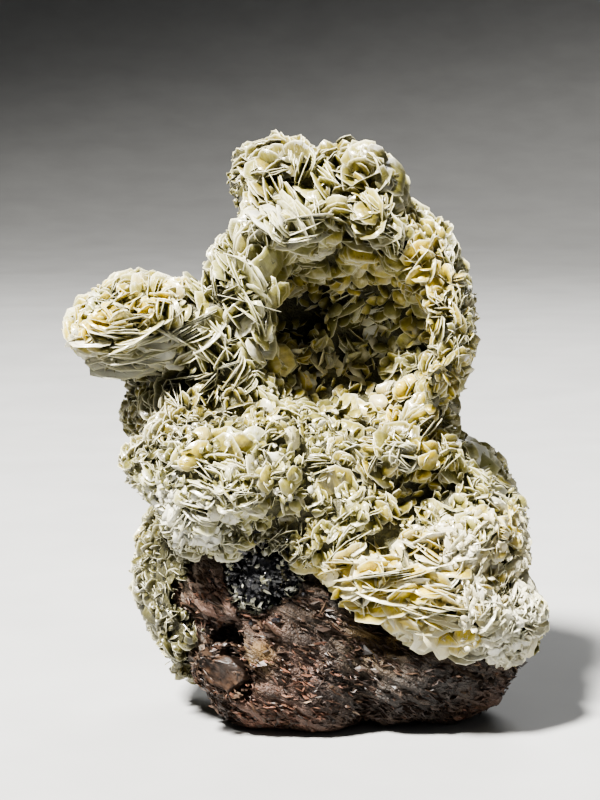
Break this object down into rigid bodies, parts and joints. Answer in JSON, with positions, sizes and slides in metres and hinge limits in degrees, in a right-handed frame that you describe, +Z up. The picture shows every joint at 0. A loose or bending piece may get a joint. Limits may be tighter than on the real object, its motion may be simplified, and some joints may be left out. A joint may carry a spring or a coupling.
{
  "type": "mica crystal specimen",
  "caption": "Hand-sized mineral specimen: a cluster of thin pale olive mica plates arching over an open pocket, on a lump of dark host rock that rests on a flat base.",
  "frame": {"origin": "on the flat base, under the middle of the specimen's bounding box", "axes": "+Z up as it stands on its base, +X to the right and -Y to the front, where the pocket opens and the host rock shows"},
  "size_m": [0.089, 0.0626, 0.1086],
  "materials": {
    "mica": "satin",
    "rock": "matte",
    "tourmaline": "gloss",
    "quartz": "satin"
  },
  "bodies": {
    "root": {"mica_cluster": "mica", "host_rock": "rock", "black_tourmaline": "tourmaline", "smoky_quartz": "quartz"}
  },
  "joints": []
}
